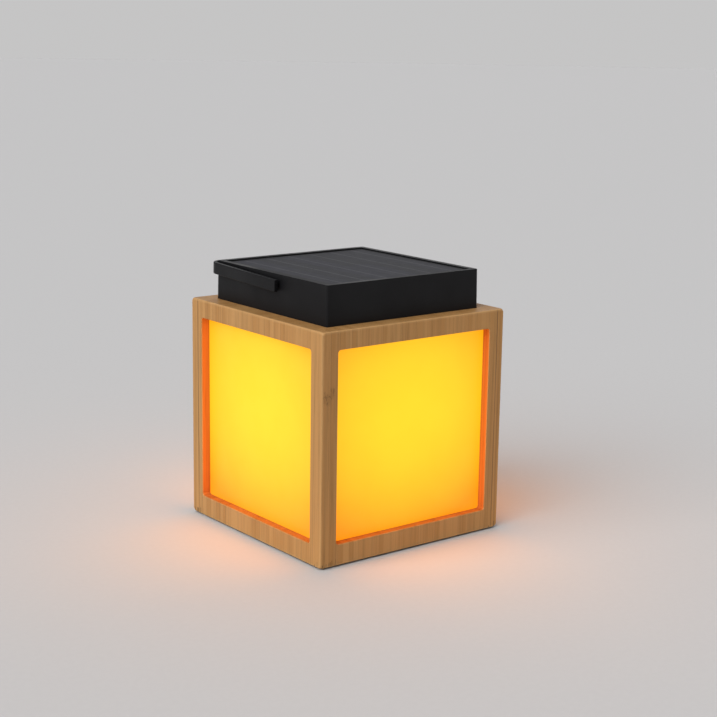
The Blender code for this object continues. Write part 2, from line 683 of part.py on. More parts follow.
def build_board():
    """The charging and light control board, with its main pieces, on posts of the cover."""
    half = BOARD_WIDTH / 2
    board = block("circuit_board", (-half, board_middle - BOARD_DEPTH / 2, board_low),
                  (half, board_middle + BOARD_DEPTH / 2, board_top), green_board)
    holes = rods("board_screw_cut", standoff_places(), BOARD_SCREW_RADIUS + GAP, board_low - CAVITY_PLAY,
                 board_top + CAVITY_PLAY, steps=SMALL_ROUND_STEPS)
    cut(board, holes)
    for side, place in zip(("left", "right"), standoff_places()[::2]):
        screw("board_screw_" + side, place, board_top, (BOARD_HEAD_RADIUS, BOARD_HEAD_HEIGHT),
              (BOARD_SCREW_RADIUS, BOARD_SCREW_LENGTH), points_up=False)
    on_board("controller_chip", -BOARD_SPREAD / 2, 0, CHIP_SIZE, CHIP_HEIGHT, chip_black)
    on_board("charge_inductor", BOARD_SPREAD / 2, 0, COIL_SIZE, COIL_HEIGHT, chip_black, COIL_ROUND)
    low = board_top + GAP
    capacitor = turned("smoothing_capacitor", [(0, CAPACITOR_HEIGHT),
                                               (CAPACITOR_RADIUS - CAPACITOR_EDGE_ROUND, CAPACITOR_HEIGHT),
                                               (CAPACITOR_RADIUS, CAPACITOR_HEIGHT - CAPACITOR_EDGE_ROUND),
                                               (CAPACITOR_RADIUS, 0), (0, 0)], steel)
    capacitor.location = (-BOARD_SPREAD * 3 / 2, board_middle, low)


def build_button():
    """The push button in the cover, and the switch under the board that it presses."""
    profile_top = cover_top + GAP + BUTTON_FLANGE_HEIGHT
    flange_low = cover_top + GAP
    face = module_low - BUTTON_STANDOUT
    button = turned("power_button", [(0, profile_top), (BUTTON_FLANGE_RADIUS, profile_top),
                                     (BUTTON_FLANGE_RADIUS, flange_low), (BUTTON_RADIUS, flange_low),
                                     (BUTTON_RADIUS, face + BUTTON_EDGE_ROUND),
                                     (BUTTON_RADIUS - BUTTON_EDGE_ROUND, face), (0, face)], white_plastic)
    button.location = (BUTTON_OFFSET, board_middle, 0)
    high = board_low - GAP
    low = high - SWITCH_HEIGHT
    half = SWITCH_SIZE / 2
    switch = block("push_switch", (BUTTON_OFFSET - half, board_middle - half, low),
                   (BUTTON_OFFSET + half, board_middle + half, high), chip_black)
    plunger = rods("plunger_add", [(BUTTON_OFFSET, board_middle)], PLUNGER_RADIUS,
                   profile_top + BUTTON_TRAVEL + BUTTON_STOP, (low + high) / 2, steps=SMALL_ROUND_STEPS)
    join(switch, plunger)


def build_light():
    """The light-emitting diode disc on its board under the cover, and the opal dome over it."""
    board_high = module_low - GAP
    board_face = board_high - LED_BOARD_THICKNESS
    turned("led_board", [(0, board_high), (LED_BOARD_RADIUS, board_high), (LED_BOARD_RADIUS, board_face),
                         (0, board_face)], white_board)
    led_top = board_face - GAP
    turned("led_emitter", [(0, led_top), (LED_RADIUS, led_top), (LED_RADIUS, led_top - LED_HEIGHT),
                           (0, led_top - LED_HEIGHT)], led_yellow)
    flange_low = board_high - DOME_FLANGE_HEIGHT
    flange_edge = dome_outer + DOME_FLANGE_WIDTH
    rise = DOME_DEPTH - DOME_FLANGE_HEIGHT
    bend = [math.radians(90 * i / (2 * CORNER_STEPS)) for i in range(2 * CORNER_STEPS + 1)]
    inside = [(dome_inner * math.sin(a), flange_low - (rise - DOME_WALL) * math.cos(a)) for a in bend]
    outside = [(dome_outer * math.cos(a), flange_low - rise * math.sin(a)) for a in bend]
    rim = [(dome_inner, board_high), (flange_edge, board_high), (flange_edge, flange_low)]
    profile = inside + rim + outside
    profile[0] = (0, profile[0][1])
    profile[-1] = (0, profile[-1][1])
    turned("led_dome", profile, opal)


def build_leads(tag_x, tag_top):
    """Pairs of wires from the panel, the battery and the light to the board."""
    half = LEAD_PITCH / 2
    board_back = board_middle + BOARD_DEPTH / 2 - STANDOFF_INSET
    on_top = board_top + GAP
    tag_side = cell_middle - CONTACT_WIDTH / 2 - GAP
    tag_level = tag_top - 2 * LEAD_RADIUS
    forward, down, up = (0, -1, 0), (0, 0, -1), (0, 0, 1)
    for sign, polarity, material in ((-1, "negative", black_lead), (1, "positive", red_lead)):
        x = sign * half
        lead("panel_lead_" + polarity, (x, 0, panel_low - GAP), down, (x, board_back, on_top), down, material)
        lead("battery_lead_" + polarity, (sign * tag_x, tag_side, tag_level), forward,
             (sign * BOARD_SPREAD, board_back, on_top), down, material)
        lead("led_lead_" + polarity, (x, -LED_LEAD_OFFSET, module_low), up,
             (x, board_back, board_low - GAP), up, material)


build_walls()
build_panes()
build_base()
build_corner_blocks()
build_housing()
build_panel()
build_cover()
build_handle()
tag_middle, tag_height = build_battery()
build_board()
build_button()
build_light()
build_leads(tag_middle, tag_height)
bpy.context.view_layer.update()
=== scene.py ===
import json
import math

import bpy
from mathutils import Matrix, Vector


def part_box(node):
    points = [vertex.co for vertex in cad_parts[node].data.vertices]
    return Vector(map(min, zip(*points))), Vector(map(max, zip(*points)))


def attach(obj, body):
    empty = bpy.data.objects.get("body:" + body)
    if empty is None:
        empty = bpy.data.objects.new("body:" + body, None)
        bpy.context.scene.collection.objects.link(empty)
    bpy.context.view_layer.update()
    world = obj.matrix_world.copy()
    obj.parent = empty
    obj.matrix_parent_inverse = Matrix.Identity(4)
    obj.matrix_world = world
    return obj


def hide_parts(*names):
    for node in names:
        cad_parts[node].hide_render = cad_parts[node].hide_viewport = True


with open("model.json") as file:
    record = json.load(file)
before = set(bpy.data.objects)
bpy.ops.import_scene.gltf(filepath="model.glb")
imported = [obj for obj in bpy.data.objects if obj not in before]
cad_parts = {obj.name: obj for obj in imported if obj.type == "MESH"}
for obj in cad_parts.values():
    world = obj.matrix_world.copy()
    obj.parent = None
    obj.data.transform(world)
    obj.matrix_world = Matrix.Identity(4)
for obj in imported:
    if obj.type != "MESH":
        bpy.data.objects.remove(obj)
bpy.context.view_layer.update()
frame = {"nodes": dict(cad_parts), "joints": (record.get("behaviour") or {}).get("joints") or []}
nodes = frame["nodes"]
mm = 0.001
hair = 0.01 * mm            # places closer than this count as one
quarter = math.pi / 2
corners = ("front_left", "front_right", "back_right", "back_left")
sides = ("front", "right", "back", "left")      # each a quarter turn on from the one before
pivot = Vector(next(joint["pos_m"] for joint in frame["joints"] if joint["name"] == "handle_swing"))


# modelling helpers

def only(piece):            # object mode, with this piece alone selected and active
    if bpy.context.object and bpy.context.object.mode != "OBJECT":
        bpy.ops.object.mode_set(mode="OBJECT")
    bpy.ops.object.select_all(action="DESELECT")
    if piece:
        piece.select_set(True)
        bpy.context.view_layer.objects.active = piece


def named(name):            # place and size of the active object go into its mesh
    piece = bpy.context.object
    piece.name = name
    piece.data.name = name
    bpy.ops.object.transform_apply(location=True, rotation=True, scale=True)
    return piece


def addBlock(name, low, high):
    low, high = Vector(low), Vector(high)
    only(None)
    bpy.ops.mesh.primitive_cube_add(size=1, location=(low + high) / 2, scale=high - low)
    return named(name)


def addRound(name, radius, low, high, steps=64, turn=(0, 0, 0)):
    low, high = Vector(low), Vector(high)
    only(None)
    bpy.ops.mesh.primitive_cylinder_add(vertices=steps, radius=radius, depth=(high - low).length,
                                        location=(low + high) / 2, rotation=turn)
    return named(name)


def addPin(name, radius, inner, outer, way):        # along X through the handle's pivot, to one side
    ends = sorted((way * inner, way * outer))
    return addRound(name, radius, (ends[0], 0, pivot.z), (ends[1], 0, pivot.z), 40, (0, quarter, 0))


def openMesh(piece, edges):         # edit mode for edges or faces, with nothing selected
    only(piece)
    bpy.context.tool_settings.mesh_select_mode = (False, edges, not edges)
    bpy.ops.object.mode_set(mode="EDIT")
    bpy.ops.mesh.select_all(action="DESELECT")


def pickFaces(piece, rule):         # edit mode, with the faces that the rule takes by centre and normal
    openMesh(piece, edges=False)
    bpy.ops.object.mode_set(mode="OBJECT")
    for face in piece.data.polygons:
        face.select = rule(face.center, face.normal)
    bpy.ops.object.mode_set(mode="EDIT")


def pickEdges(piece, rule):         # edit mode, with the edges that the rule takes by their two ends
    openMesh(piece, edges=True)
    bpy.ops.object.mode_set(mode="OBJECT")
    spots = piece.data.vertices
    for edge in piece.data.edges:
        edge.select = rule(spots[edge.vertices[0]].co, spots[edge.vertices[1]].co)
    bpy.ops.object.mode_set(mode="EDIT")


def roundEdges(width, steps):       # bevels what is selected
    bpy.ops.mesh.bevel(offset=width, segments=steps, profile=0.5, affect="EDGES", clamp_overlap=True)


def roundPicked(piece, rule, width, steps):
    pickEdges(piece, rule)
    roundEdges(width, steps)
    bpy.ops.object.mode_set(mode="OBJECT")


def easeSharp(piece, width, steps, angle=50):
    openMesh(piece, edges=True)
    bpy.ops.mesh.edges_select_sharp(sharpness=math.radians(angle))
    roundEdges(width, steps)
    bpy.ops.object.mode_set(mode="OBJECT")


def isUpright(a, b):                # rule for the edges that run up and down
    return abs(a.z - b.z) > mm


def push(rise):                     # extrudes the selected faces or edges
    bpy.ops.mesh.extrude_region_move(TRANSFORM_OT_translate={"value": (0, 0, rise)})


def widen(share, centre):           # scales what is selected, in X and Y
    bpy.ops.transform.resize(value=(share, share, 1), center_override=centre)


def cutOff(piece, spot, away):      # cuts off what lies on the away side, and closes the cut
    only(piece)
    bpy.ops.object.mode_set(mode="EDIT")
    bpy.ops.mesh.select_all(action="SELECT")
    bpy.ops.mesh.bisect(plane_co=spot, plane_no=away, use_fill=True, clear_outer=True)
    bpy.ops.object.mode_set(mode="OBJECT")


def applyModifier(piece, kind, **settings):
    only(piece)
    bpy.ops.object.modifier_add(type=kind)
    modifier = piece.modifiers[-1]
    for key, value in settings.items():
        setattr(modifier, key, value)
    bpy.ops.object.modifier_apply(modifier=modifier.name)


def carve(piece, tool, operation="DIFFERENCE"):
    applyModifier(piece, "BOOLEAN", operation=operation, solver="EXACT", object=tool)
    bpy.data.objects.remove(tool)


def copyOf(piece, name, move=(0, 0, 0), turn=(0, 0, 0)):        # a copy with its own mesh, set in place
    only(piece)
    bpy.ops.object.duplicate()
    copy = bpy.context.object
    copy.location = move
    copy.rotation_euler = turn
    return named(name)


def dress(piece, look, body, slot, *stoodFor, angle=35):        # shading, finish, body and CAD node
    only(piece)
    bpy.ops.object.shade_smooth_by_angle(angle=math.radians(angle))
    applyModifier(piece, "WEIGHTED_NORMAL", keep_sharp=True)
    piece.data.materials.clear()
    piece.data.materials.append(finish[look])
    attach(piece, body)
    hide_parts(*stoodFor)


def repaint(look, *names):          # a CAD node that is shown as it is
    for name in names:
        for slot in nodes[name].material_slots:
            slot.material = finish[look]


# material helpers

def startFinish(name, roughness, metallic=0.0, specular=0.5):
    material = bpy.data.materials.new(name)
    material.use_nodes = True
    shader = material.node_tree.nodes["Principled BSDF"]
    shader.inputs["Roughness"].default_value = roughness
    shader.inputs["Metallic"].default_value = metallic
    shader.inputs["Specular IOR Level"].default_value = specular
    return material, material.node_tree, shader


def addNode(tree, kind, inputs, **settings):
    node = tree.nodes.new("ShaderNode" + kind)
    for key, value in settings.items():
        setattr(node, key, value)
    for socket, value in inputs.items():
        if isinstance(value, bpy.types.NodeSocket):
            tree.links.new(value, node.inputs[socket])
        else:
            node.inputs[socket].default_value = value
    return node


def calc(tree, operation, first, second=0.0):
    return addNode(tree, "Math", {0: first, 1: second}, operation=operation).outputs[0]


def product(tree, first, *others):
    for other in others:
        first = calc(tree, "MULTIPLY", first, other)
    return first


def apart(tree, first, second):             # distance between two values
    return calc(tree, "ABSOLUTE", calc(tree, "SUBTRACT", first, second))


def vector(tree, operation, first, second, output=0):
    return addNode(tree, "VectorMath", {0: first, 1: second}, operation=operation).outputs[output]


def ease(tree, value, low, high, start=0.0, end=1.0):       # smooth step from start to end
    inputs = {"Value": value, "From Min": low, "From Max": high, "To Min": start, "To Max": end}
    return addNode(tree, "MapRange", inputs, interpolation_type="SMOOTHSTEP").outputs[0]


def fade(tree, value, full, gone):          # 1 as far as full, and 0 from gone on
    return ease(tree, value, full, gone, 1.0, 0.0)


def tint(tree, share, first, second, blend="MIX"):
    inputs = {0: share}
    for socket, colour in ((6, first), (7, second)):
        inputs[socket] = colour if isinstance(colour, bpy.types.NodeSocket) else (*colour, 1.0)
    return addNode(tree, "Mix", inputs, data_type="RGBA", blend_type=blend).outputs[2]


def shade(tree, colour, amount, deepest):   # darkens a colour by an amount from 0 to 1
    level = ease(tree, amount, 0.0, 1.0, 1.0, deepest)
    grey = addNode(tree, "CombineColor", {0: level, 1: level, 2: level}).outputs[0]
    return tint(tree, 1.0, colour, grey, "MULTIPLY")


def objectSpot(tree, turn=(0, 0, 0), stretch=(1, 1, 1)):        # turned first, then stretched
    spot = addNode(tree, "TexCoord", {}).outputs["Object"]
    spot = addNode(tree, "Mapping", {"Vector": spot, "Rotation": turn}).outputs[0]
    return vector(tree, "MULTIPLY", spot, stretch)


def axes(tree, spot):
    return addNode(tree, "SeparateXYZ", {0: spot}).outputs


def noise(tree, spot, scale, detail, rough=0.5):
    inputs = {"Vector": spot, "Scale": scale, "Detail": detail, "Roughness": rough}
    return addNode(tree, "TexNoise", inputs).outputs[0]


def whiteNoise(tree, value):                # a level of its own for each whole number
    return addNode(tree, "TexWhiteNoise", {"W": value}, noise_dimensions="1D").outputs["Value"]


def relief(tree, shader, height, depth, strength):
    bump = addNode(tree, "Bump", {"Height": height, "Distance": depth, "Strength": strength})
    feed(tree, shader, "Normal", bump.outputs[0])


def feed(tree, shader, socket, value):
    tree.links.new(value, shader.inputs[socket])


finish = {}             # every material of the lantern, by name


# bamboo, glued up from strips

bambooLook = {
    "pale": (0.530, 0.288, 0.102),
    "honey": (0.425, 0.214, 0.066),
    "warm": (0.495, 0.236, 0.070),
    "sanded": (0.62, 0.37, 0.155),
    "paintedPaneGlow": (0.96, 0.62, 0.36),     # painted glow of a pane, on the wood of the window's cut faces
    "stripWidth": 4.0 * mm,
    "stripWander": 90.0,                # how often the strips change in width, per metre
    "driftScale": 17.0,
    "driftStretch": 0.35,
    "fibreScale": 1500,
    "streakScale": 450,
    "fibreStretch": 0.018,
    "poreScale": 900.0,
    "reliefDepth": 0.12 * mm,
}
bambooMarks = {                         # distances at which a mark is full, and gone
    "joint": (0.042 * mm, 0.14 * mm),
    "seam": (0.18 * mm, 0.6 * mm),
    "knuckleShadow": (0.5 * mm, 4.5 * mm),
    "knuckleLine": (0.2 * mm, 0.8 * mm),
    "knot": (1.5 * mm, 5.5 * mm),
    "wornEdge": (0.3 * mm, 2.0 * mm),
    "dashTip": (0.2 * mm, 1.2 * mm),
    "dashCorner": (9 * mm, 17 * mm),
}
bambooDepths = {                        # what is left of the colour in each mark
    "fibre": 0.78, "streak": 0.87, "endGrain": 0.84, "pores": 0.7, "joint": 0.66, "seam": 0.42,
    "knuckleShadow": 0.86, "knuckleLine": 0.76, "knotShadow": 0.86, "knotSpecks": 0.6, "dash": 0.55,
}
knuckleSizes = {"spacing": 230 * mm, "stagger": 5 * mm, "speckScale": 850.0, "speckStretch": 0.45}
boxEdge = {
    "half": -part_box("front_wall")[0].y,
    "low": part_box("front_wall")[0].z,
    "high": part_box("front_wall")[1].z,
    "revealSide": (0.4 * mm, 0.9 * mm),     # from here in, a face belongs to the window's cut
    "revealRail": (6 * mm, 8 * mm),
    "dashSpacing": 1.5 * mm,                # dark fibres at the bottom corners
    "dashReach": 4.2 * mm,
    "dashWander": 7.0,
    "dashWidth": (0.16, 0.32),              # as a share of the spacing
}


def bambooFinish(name, seed, turn=(0, 0, 0), grain="Z", seams=(), knots=(), knuckles=0.12, onBox=False):
    look, marks, depths = bambooLook, bambooMarks, bambooDepths
    material, tree, shader = startFinish(name, roughness=0.5, specular=0.28)
    spot = axes(tree, objectSpot(tree, turn))       # the turn sets X across the strips, Z along the grain
    across, along = spot["X"], spot["Z"]
    inputs = {"W": calc(tree, "ADD", across, seed), "Scale": look["stripWander"], "Detail": 0.0}
    wander = addNode(tree, "TexNoise", inputs, noise_dimensions="1D").outputs[0]
    lane = calc(tree, "ADD", calc(tree, "DIVIDE", across, look["stripWidth"]), wander)
    lane = calc(tree, "ADD", lane, seed * 31.7)
    strip = calc(tree, "FLOOR", lane)
    colour = tint(tree, whiteNoise(tree, strip), look["pale"], look["honey"])

    # broad drift of colour, then the fibres along the grain
    drift = noise(tree, objectSpot(tree, turn, (1.0, 1.0, look["driftStretch"])), look["driftScale"], 1.0)
    colour = tint(tree, ease(tree, drift, 0.35, 0.7, 0.0, 0.35), colour, look["warm"])
    drawnOut = objectSpot(tree, turn, (1.0, 1.0, look["fibreStretch"]))
    fibre = noise(tree, drawnOut, look["fibreScale"], 2.0, 0.6)
    streak = noise(tree, drawnOut, look["streakScale"], 1.0)
    colour = shade(tree, colour, ease(tree, fibre, 0.5, 0.78), depths["fibre"])
    colour = shade(tree, colour, ease(tree, streak, 0.42, 0.75), depths["streak"])

    # end grain with its pores, by the way that the surface faces
    facing = axes(tree, addNode(tree, "NewGeometry", {}).outputs["Normal"])[grain]
    end = ease(tree, calc(tree, "ABSOLUTE", facing), 0.6, 0.9)
    side = calc(tree, "SUBTRACT", 1.0, end)
    inputs = {"Vector": objectSpot(tree, turn, (1.0, 1.0, 0.0)), "Scale": look["poreScale"]}
    pores = product(tree, fade(tree, addNode(tree, "TexVoronoi", inputs).outputs[0], 0.12, 0.34), end)
    colour = shade(tree, colour, end, depths["endGrain"])
    colour = shade(tree, colour, pores, depths["pores"])

    # glue joints between the strips, and the dark seams
    fromMiddle = apart(tree, calc(tree, "FRACT", lane), 0.5)
    fromJoint = product(tree, calc(tree, "SUBTRACT", 0.5, fromMiddle), look["stripWidth"])
    joint = fade(tree, fromJoint, *marks["joint"])
    joint = product(tree, joint, whiteNoise(tree, calc(tree, "ROUND", lane)))
    colour = shade(tree, colour, joint, depths["joint"])
    for place in seams:
        seam = product(tree, fade(tree, apart(tree, across, place), *marks["seam"]), side)
        broken = product(tree, seam, ease(tree, streak, 0.3, 0.6, 0.6, 1.0))
        colour = shade(tree, colour, broken, depths["seam"])
        joint = calc(tree, "MAXIMUM", joint, seam)

    # knuckles, at a height of their own in the strips that have one
    spacing = knuckleSizes["spacing"]
    lift = whiteNoise(tree, calc(tree, "ADD", strip, 0.37))
    step = calc(tree, "FRACT", calc(tree, "ADD", calc(tree, "DIVIDE", along, spacing), lift))
    fromKnuckle = product(tree, apart(tree, step, 0.5), spacing)
    has = calc(tree, "LESS_THAN", whiteNoise(tree, calc(tree, "ADD", strip, 0.71)), knuckles)
    has = product(tree, has, side)
    shadow = product(tree, fade(tree, fromKnuckle, *marks["knuckleShadow"]), has)
    colour = shade(tree, colour, shadow, depths["knuckleShadow"])
    line = product(tree, fade(tree, fromKnuckle, *marks["knuckleLine"]), has)
    colour = shade(tree, colour, line, depths["knuckleLine"])

    for place, height, reach in knots:          # broader marks that cross a few strips
        stagger = product(tree, calc(tree, "SUBTRACT", lift, 0.5), knuckleSizes["stagger"])
        drop = calc(tree, "ABSOLUTE", calc(tree, "ADD", calc(tree, "SUBTRACT", along, height), stagger))
        mark = product(tree, fade(tree, apart(tree, across, place), reach * 0.6, reach),
                       fade(tree, drop, *marks["knot"]))
        colour = shade(tree, colour, product(tree, mark, side), depths["knotShadow"])
        speckSpot = objectSpot(tree, turn, (1.0, 1.0, knuckleSizes["speckStretch"]))
        speck = ease(tree, noise(tree, speckSpot, knuckleSizes["speckScale"], 2.0), 0.52, 0.66)
        colour = shade(tree, colour, product(tree, mark, speck, side), depths["knotSpecks"])

    if onBox:
        colour = boxEdges(tree, colour, across, wander, drift, side)
    feed(tree, shader, "Base Color", colour)
    feed(tree, shader, "Roughness", ease(tree, fibre, 0.3, 0.8, 0.44, 0.64))
    height = calc(tree, "SUBTRACT", product(tree, fibre, -0.5), joint)
    height = calc(tree, "SUBTRACT", height, product(tree, line, 0.4))
    relief(tree, shader, height, look["reliefDepth"], 0.7)
    finish[name] = material


def boxEdges(tree, colour, across, wander, drift, side):        # what depends on the place on the box
    look, marks, edge = bambooLook, bambooMarks, boxEdge
    spot = axes(tree, objectSpot(tree))
    toX = calc(tree, "SUBTRACT", edge["half"], calc(tree, "ABSOLUTE", spot["X"]))
    toY = calc(tree, "SUBTRACT", edge["half"], calc(tree, "ABSOLUTE", spot["Y"]))
    rise = calc(tree, "SUBTRACT", spot["Z"], edge["low"])
    toZ = calc(tree, "MINIMUM", rise, calc(tree, "SUBTRACT", edge["high"], spot["Z"]))

    # sanded pale where two sides are near: the middle one of the three distances is small
    nearest = calc(tree, "MINIMUM", calc(tree, "MINIMUM", toX, toY), toZ)
    farthest = calc(tree, "MAXIMUM", calc(tree, "MAXIMUM", toX, toY), toZ)
    between = calc(tree, "ADD", calc(tree, "ADD", toX, toY), toZ)
    between = calc(tree, "SUBTRACT", between, calc(tree, "ADD", nearest, farthest))
    worn = product(tree, fade(tree, between, *marks["wornEdge"]), ease(tree, drift, 0.3, 0.6, 0.12, 0.4))
    colour = tint(tree, worn, colour, look["sanded"])

    # cut faces of the window, with the pane's glow painted on them as an orange tint
    reveal = ease(tree, calc(tree, "MINIMUM", toX, toY), *edge["revealSide"])
    reveal = product(tree, reveal, ease(tree, toZ, *edge["revealRail"]))
    colour = tint(tree, reveal, colour, look["paintedPaneGlow"], "MULTIPLY")

    # dark fibres that run up from the bottom corners
    row = calc(tree, "DIVIDE", across, edge["dashSpacing"])
    row = calc(tree, "ADD", row, product(tree, wander, edge["dashWander"]))
    length = whiteNoise(tree, calc(tree, "FLOOR", row))
    reach = ease(tree, length, 0.15, 1.0, -2 * mm, edge["dashReach"])       # some stay below the edge
    dash = fade(tree, calc(tree, "SUBTRACT", rise, reach), *marks["dashTip"])
    fromMiddle = apart(tree, calc(tree, "FRACT", row), 0.5)
    dash = product(tree, dash, fade(tree, fromMiddle, *edge["dashWidth"]),
                   fade(tree, farthest, *marks["dashCorner"]), side)
    return shade(tree, colour, dash, bambooDepths["dash"])


wallMarks = {           # knots have a place across, a height and a reach; knuckles are a share of the strips
    "front": {"turn": 0.0, "seams": (69.6 * mm,), "knuckles": 0.0,
              "knots": ((-70 * mm, 112 * mm, 5.5 * mm),)},
    "right": {"turn": quarter, "seams": (-41 * mm,), "knuckles": 0.12,
              "knots": ((38 * mm, 8 * mm, 5 * mm),)},
    "back": {"turn": 0.0, "seams": (33 * mm,), "knuckles": 0.12,
             "knots": ((69 * mm, 61 * mm, 5 * mm),)},
    "left": {"turn": quarter, "seams": (-67.4 * mm,), "knuckles": 0.0, "knots": ()},
}
for place, side in enumerate(sides):
    wall = wallMarks[side]
    bambooFinish("bamboo_" + side, 1.0 + place, (0, 0, wall["turn"]), seams=wall["seams"],
                 knots=wall["knots"], knuckles=wall["knuckles"], onBox=True)
bambooFinish("bamboo_base", 7.0, (0, -quarter, -quarter), grain="X", knuckles=0.25)
bambooFinish("bamboo_strip", 9.0)


# frosted panes, lit from a lamp on the middle axis of the box

paneLook = {
    "body": (0.30, 0.160, 0.018),
    "core": (1.0, 0.655, 0.008),        # emitted colour in front of the lamp
    "rim": (0.92, 0.26, 0.001),         # and where the least light falls
    "strength": 1.0,
    "lampHeight": 92 * mm,
    "sideFall": 7.6,                    # how fast the light falls off sideways, per metre
    "heightFall": 9.2,                  # and up and down
    "middle": 66.5 * mm,                # from the lamp to the middle of a pane
    "fall": 0.6,
    "cloudScale": 38.0,
    "frostScale": 2600.0,
    "frostDepth": 0.05 * mm,
}


def paneFinish(name):
    look = paneLook
    material, tree, shader = startFinish(name, roughness=0.42, specular=0.3)
    shader.inputs["Base Color"].default_value = (*look["body"], 1.0)
    shader.inputs["Emission Strength"].default_value = look["strength"]
    spot = objectSpot(tree)
    off = vector(tree, "SUBTRACT", spot, (0, 0, look["lampHeight"]))
    off = vector(tree, "MULTIPLY", off, (look["sideFall"], look["sideFall"], look["heightFall"]))
    away = vector(tree, "DOT_PRODUCT", off, off, "Value")
    start = (look["sideFall"] * look["middle"]) ** 2
    away = calc(tree, "DIVIDE", calc(tree, "SUBTRACT", away, start), look["fall"])
    cloud = noise(tree, spot, look["cloudScale"], 2.0)
    away = calc(tree, "ADD", away, ease(tree, cloud, 0.3, 0.7, -0.02, 0.02))
    feed(tree, shader, "Emission Color", tint(tree, away, look["core"], look["rim"]))
    feed(tree, shader, "Roughness", ease(tree, cloud, 0.3, 0.7, 0.38, 0.5))
    relief(tree, shader, noise(tree, spot, look["frostScale"], 2.0, 0.7), look["frostDepth"], 0.35)
    finish[name] = material


paneFinish("opal_pane")


# dome and light: from the core colour on the axis to the rim colour

glowCloud = {"scale": 160.0, "shift": 0.06}       # shift as a share of the reach
glowLooks = {
    "opal_dome": {"body": (0.34, 0.24, 0.09), "core": (1.0, 0.74, 0.22), "rim": (0.80, 0.30, 0.02),
                  "reach": 23 * mm, "strength": 0.9},
    "led_phosphor": {"body": (0.9, 0.6, 0.1), "core": (1.0, 0.72, 0.3), "rim": (1.0, 0.5, 0.1),
                     "reach": 6 * mm, "strength": 1.2},
}


def glowFinish(name, body, core, rim, reach, strength):
    material, tree, shader = startFinish(name, 0.4, specular=0.4)
    shader.inputs["Base Color"].default_value = (*body, 1.0)
    shader.inputs["Emission Strength"].default_value = strength
    spot = objectSpot(tree)
    flat = vector(tree, "MULTIPLY", spot, (1, 1, 0))
    away = addNode(tree, "VectorMath", {0: flat}, operation="LENGTH").outputs["Value"]
    cloud = noise(tree, spot, glowCloud["scale"], 2.0)
    shift = glowCloud["shift"] * reach
    away = calc(tree, "ADD", away, ease(tree, cloud, 0.3, 0.7, -shift, shift))
    feed(tree, shader, "Emission Color", tint(tree, ease(tree, away, 0.0, reach), core, rim))
    feed(tree, shader, "Roughness", ease(tree, cloud, 0.3, 0.7, 0.34, 0.46))
    finish[name] = material


for name, look in glowLooks.items():
    glowFinish(name, **look)


# moulded plastic, with a fine spark texture

plasticTexture = {
    "grain": 1900.0,
    "grainDepth": 0.06 * mm,
    "handling": 23.0,               # size of the smoother patches, per metre
    "handled": 0.08,                # how much smoother or rougher they are
}
plasticLooks = {
    "module_black": {"colour": (0.0042, 0.0042, 0.0050), "roughness": 0.5, "specular": 0.2},
    "handle_black": {"colour": (0.0042, 0.0042, 0.0050), "roughness": 0.46, "specular": 0.22},
    "button_white": {"colour": (0.74, 0.74, 0.71), "roughness": 0.4, "fleck": 1.05},
    "chip_black": {"colour": (0.014, 0.014, 0.015), "roughness": 0.38},
}


def plasticFinish(name, colour, roughness, specular=0.5, fleck=1.4):
    look = plasticTexture
    material, tree, shader = startFinish(name, roughness, specular=specular)
    spot = objectSpot(tree)
    grain = noise(tree, spot, look["grain"], 3.0, 0.65)
    patches = noise(tree, spot, look["handling"], 3.0, 0.55)
    pale = tuple(level * fleck for level in colour)
    feed(tree, shader, "Base Color", tint(tree, ease(tree, grain, 0.35, 0.75), colour, pale))
    smooth, rough = roughness - look["handled"], roughness + look["handled"]
    feed(tree, shader, "Roughness", ease(tree, patches, 0.3, 0.7, smooth, rough))
    relief(tree, shader, grain, look["grainDepth"], 0.5)
    finish[name] = material


for name, look in plasticLooks.items():
    plasticFinish(name, **look)


# solar panel: dark cells with fine silver fingers under a clear sheet

panelLook = {
    "cell": (0.0050, 0.0052, 0.0100),
    "cellBlue": (0.0085, 0.0085, 0.0180),
    "ribbon": (0.085, 0.085, 0.090),
    "backing": (0.0035, 0.0035, 0.0045),
    "columns": 6,
    "rows": 2,
    "margin": 3.2 * mm,
    "softEdge": 0.1 * mm,
    "cellGap": 0.8 * mm,
    "fingerPitch": 1.9 * mm,
    "fingerWidth": 0.10 * mm,
    "ribbonWidth": 0.6 * mm,
    "hazeScale": 140.0,
    "rippleScale": 700.0,
    "rippleDepth": 0.03 * mm,
}


